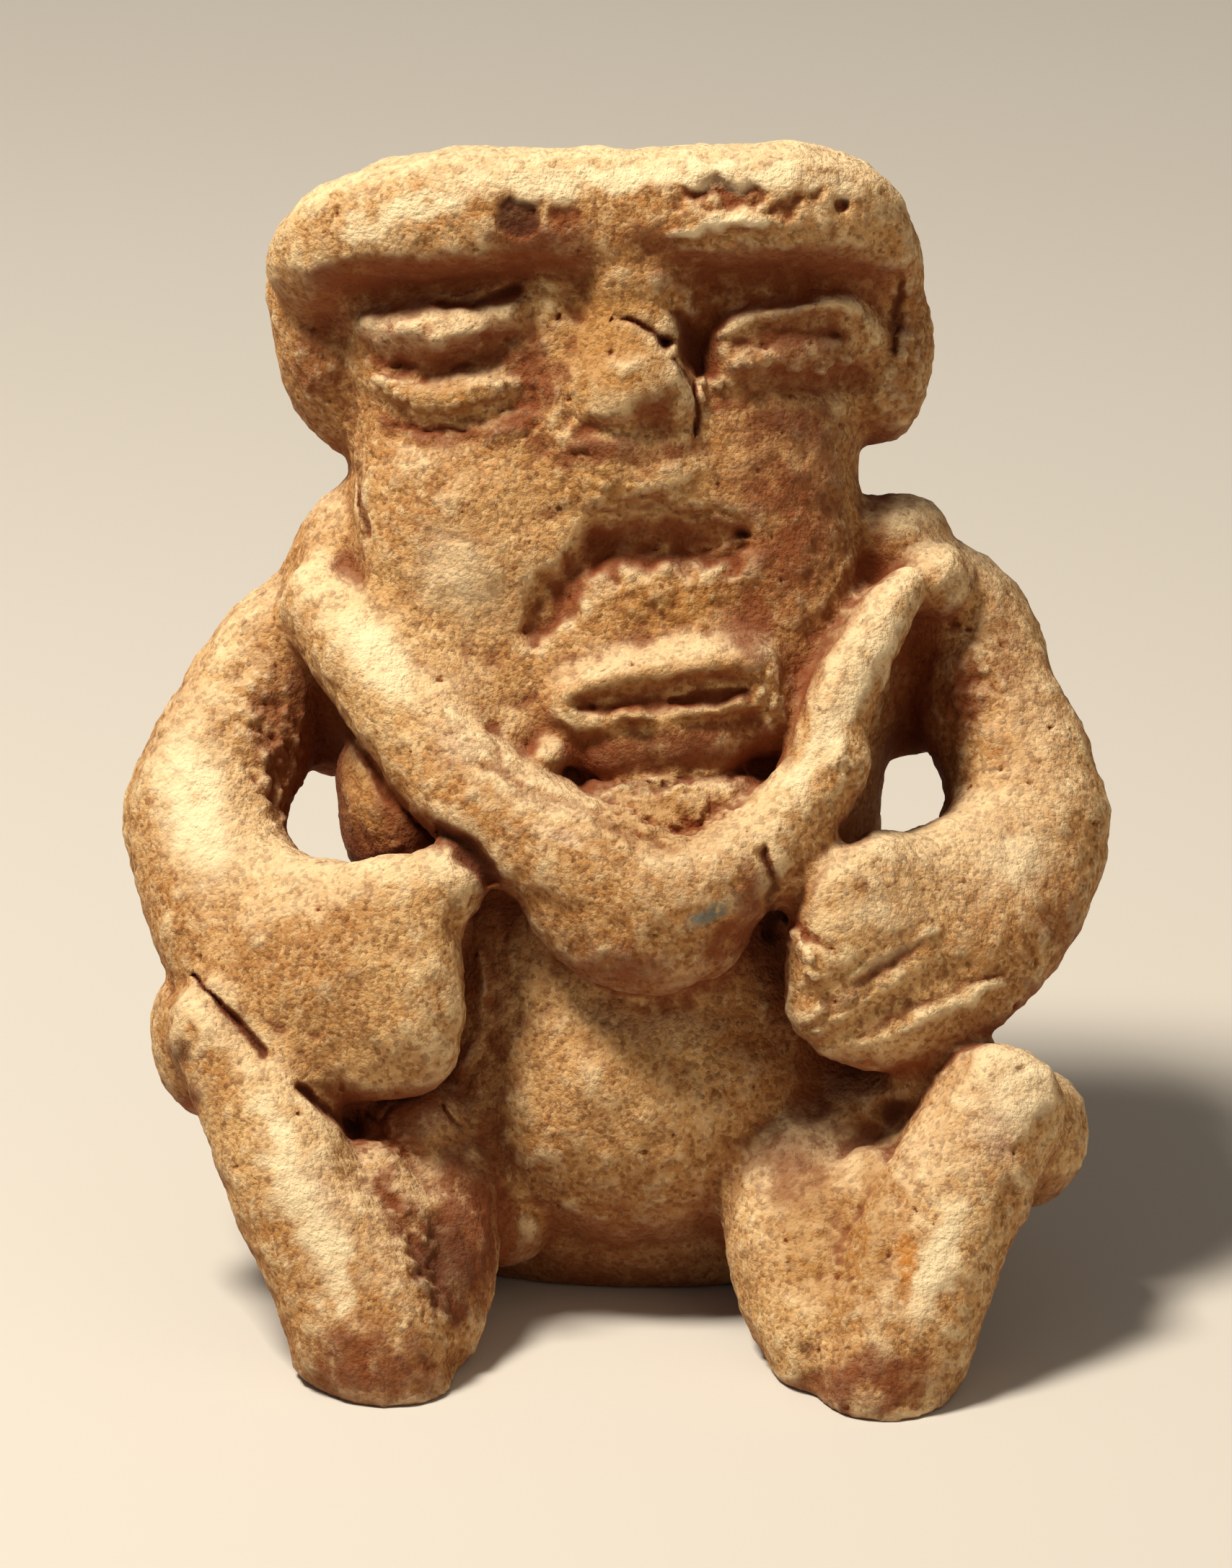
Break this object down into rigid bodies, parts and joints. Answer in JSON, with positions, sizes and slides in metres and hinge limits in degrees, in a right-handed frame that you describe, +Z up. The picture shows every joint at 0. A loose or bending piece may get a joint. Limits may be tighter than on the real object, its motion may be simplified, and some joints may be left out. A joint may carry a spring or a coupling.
{
  "type": "seated clay figurine",
  "caption": "Hand-modelled clay figurine of a squatting person with drawn-up knees, hands on the belly, a heavy brow and a collar with a pendant; it stands on its seat and feet.",
  "frame": {"origin": "on the ground, in the middle of the seat's flat underside", "axes": "+Z up, -Y out of the figure's front, +X to the figure's left side, which is the right of the picture"},
  "size_m": [0.0844, 0.0726, 0.0969],
  "materials": {
    "fired_clay": "dull, sandy, unglazed"
  },
  "bodies": {
    "root": {"statuette": "fired_clay"}
  },
  "joints": []
}
